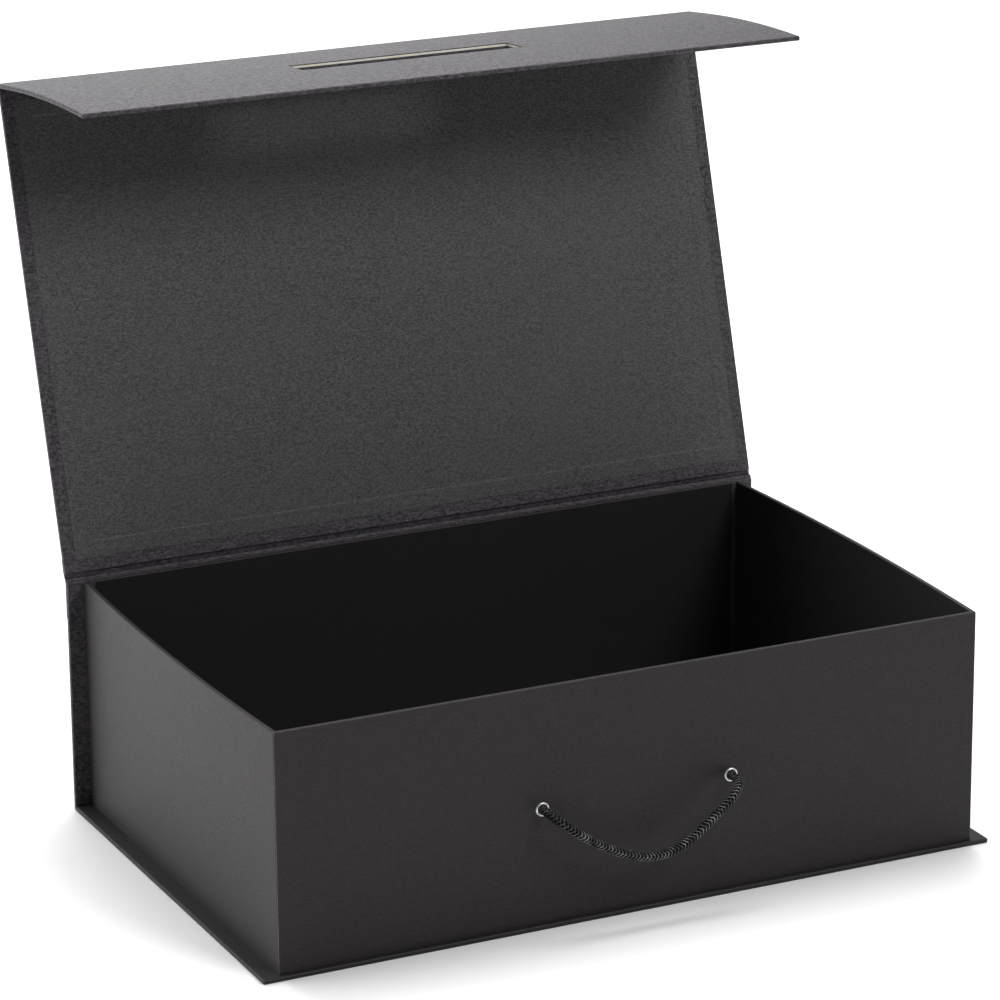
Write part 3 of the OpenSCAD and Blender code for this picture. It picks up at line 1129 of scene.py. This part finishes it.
def strip(name, outline, rounding):
    """Sweeps a closed outline of (y, z) points along X, drawn in a little at its ends."""
    centre_y = sum(y for y, _ in outline) / len(outline)
    centre_z = sum(z for _, z in outline) / len(outline)
    xs = [half_w - rounding * (1 - sin(radians(a))) for a in steps(0, 90, 4)]
    draws = [rounding * (1 - cos(radians(a))) for a in steps(0, 90, 4)]
    ends = list(zip(xs, draws))
    line = [(-x, d) for x, d in reversed(ends)]
    line += [(x, 0.0) for x in steps(ends[0][0], -ends[0][0], 16)[::-1][1:-1]]
    line += ends
    points, faces = [], []
    for x, draw in line:
        for y, z in outline:
            away = Vector((0, y - centre_y, z - centre_z))
            pulled = away * (1 - min(1.0, draw / max(away.length, draw, 1e-9)))
            points.append(Vector((x, centre_y, centre_z)) + pulled)
    count = len(outline)
    for i in range(len(line) - 1):
        for k in range(count):
            n = (k + 1) % count
            a, b = i * count, (i + 1) * count
            faces.append((a + k, a + n, b + n, b + k))
    faces.append(tuple(range(count)))
    faces.append(tuple(range((len(line) - 1) * count, len(line) * count))[::-1])
    return mesh_object(name, points, faces)


def curve_between(a, along_a, b, along_b, count=8):
    """Points on a smooth curve from a to b that leaves and arrives along two directions."""
    reach = (b - a).length * 0.45
    c, d = a + along_a * reach, b - along_b * reach
    points = []
    for t in steps(0, 1, count):
        u = 1 - t
        points.append(
            a * u ** 3 + c * 3 * u * u * t + d * 3 * u * t * t + b * t ** 3
        )
    return points


def hinge_outline(strip_lo, half_t, lid_gap):
    """Closed outline of the hinge paper: up the spine's back, round the hinge line and on
    to the lid, then back by a groove under the lid's end and down to the spine's top."""
    up = Vector((0, 0, 1))
    lid_out = lid_run.cross(Vector((1, 0, 0)))
    back = spine_hi.y
    skin = 0.22 * MM
    slack = 0.02 * MM
    low = Vector((0, back + slack + skin, strip_lo.z))
    bend = Vector((0, back + slack + skin, hinge.z - 3.4 * MM))
    on_lid = hinge + lid_run * (lid_gap + 1.2 * MM) + lid_out * (half_t + slack + skin)
    end = hinge + lid_run * (lid_gap + 8 * MM) + lid_out * (half_t + slack + skin * 0.3)
    under_end = end - lid_out * skin * 0.3
    under_lid = hinge + lid_run * (lid_gap + 0.8 * MM) + lid_out * (half_t + slack)
    behind_lid = hinge + lid_run * (lid_gap - 0.1 * MM) + lid_out * 0.5 * MM
    groove_top = hinge + lid_run * (lid_gap - 0.2 * MM) - lid_out * 0.2 * MM
    groove_low = Vector((0, hinge.y + 0.25 * MM, hinge.z - 0.8 * MM))
    band_top = Vector((0, back - 0.2 * MM, hinge.z - 0.35 * MM))
    band_face = Vector((0, back - 0.8 * MM, hinge.z - 0.75 * MM))
    spine_top = Vector((0, back - 1.7 * MM, rim_z + 0.08 * MM))
    spine_edge = Vector((0, back - 0.5 * MM, rim_z + 0.05 * MM))
    inner_top = Vector((0, back + slack, rim_z - EDGE_R))
    inner_low = Vector((0, back + slack, strip_lo.z))
    outline = [low]
    outline += curve_between(bend, up, on_lid, lid_run)
    outline += [end, under_end, under_lid, behind_lid]
    outline += [groove_top, groove_low, band_top]
    outline += curve_between(
        band_face, Vector((0, -0.3, -0.95)), spine_top, Vector((0, -0.8, -0.6)), 5
    )
    return [(p.y, p.z) for p in outline + [spine_edge, inner_top, inner_low]]


def make_hinge_paper(material):
    """Paper hinge between the spine and the lid."""
    strip_lo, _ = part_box("lid_hinge_strip")
    _, lid_hi = local_box("lid_wrap", LID)
    lid_gap = -lid_hi.y
    paper = strip("hinge_paper", hinge_outline(strip_lo, lid_hi.z, lid_gap), 0.1 * MM)
    complete(paper, None, material, "outer_paper", "lid_hinge_strip")
    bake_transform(paper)


def make_crease(material):
    """Round bead of folded paper on the crease, and the paper that runs on to it from the
    lid and from the flap."""
    _, bead_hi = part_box("flap_fold_strip")
    bead_r = bead_hi.z - crease.z
    outline = [
        (crease.y + bead_r * cos(radians(a)), crease.z + bead_r * sin(radians(a)))
        for a in steps(0, 360, 28)[:-1]
    ]
    bead = strip("crease_bead", outline, EDGE_R)
    complete(bead, "flap_fold", material, "outer_paper", "flap_fold_strip")
    lid_end = (crease - hinge).length
    lid_lo, _ = local_box("lid_wrap", LID)
    lip = 1.6 * MM
    spans = (
        ("lid_crease_paper", LID, "lid", -lid_end, lid_lo.y + lip),
        ("flap_crease_paper", FLAP, "flap", local_box("flap_wrap", FLAP)[1].y - lip, 0.0),
    )
    for name, place, body, y0, y1 in spans:
        lo = Vector((-half_w + 0.1 * MM, y0, bead_r - PAPER))
        hi = Vector((half_w - 0.1 * MM, y1, bead_r + 0.02 * MM))
        lap = box_object(name, lo, hi, 0.08 * MM)
        slice_across(lap, 0, (lo.x + EDGE_R * 2, hi.x - EDGE_R * 2))
        lap.data.transform(place)
        complete(lap, body, material, "outer_paper")


# ---- CAD nodes that stay ----

def repaint(material, *nodes):
    for name in nodes:
        data = frame["nodes"][name].data
        data.materials.clear()
        data.materials.append(material)


def main():
    make_camera()
    rope = rope_yarn("rope_yarn")
    make_rope_handle(rope)
    make_rope_ends(rope)
    make_lights()
    make_floor(studio_floor("studio_floor"))

    outer = covering_paper("outer_paper", (0.0075, 0.0068, 0.0071), 0.56, 0.35, 0.08 * MM)
    case = covering_paper(
        "case_paper", (0.031, 0.0285, 0.0313), 0.55, 0.9, 0.5 * MM, 0.3, 1.6 * MM
    )
    lining = covering_paper("lining_paper", (0.044, 0.044, 0.0442), 0.62, 0.55, 0.1 * MM)
    overlap = covering_paper("tab_paper", (0.03, 0.029, 0.03), 0.6, 0.3, 0.08 * MM)
    board = greyboard("greyboard")
    bright = nickel("nickel")
    steel = brushed_steel("magnet_steel")
    glue = dried_glue("dried_glue")

    make_eyelets(bright)
    make_tray_paper(outer)
    make_corner_tabs(overlap)
    make_side_boards(board)
    make_base_and_spine(outer, case)
    make_lid(case, lining)
    make_flap(case, lining, board, steel)
    make_hinge_paper(case)
    make_crease(case)

    repaint(board, "base_board", "spine_board", "floor_board", "lid_board")
    repaint(board, "wall_front", "wall_back")
    repaint(lining, "floor_liner")
    repaint(glue, "spine_glue", "glue_sheet")
    repaint(steel, "tray_magnets")


main()

({name: [list(corner) for corner in box] for name, box in
     (("cad", cad_box), ("visual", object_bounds()))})
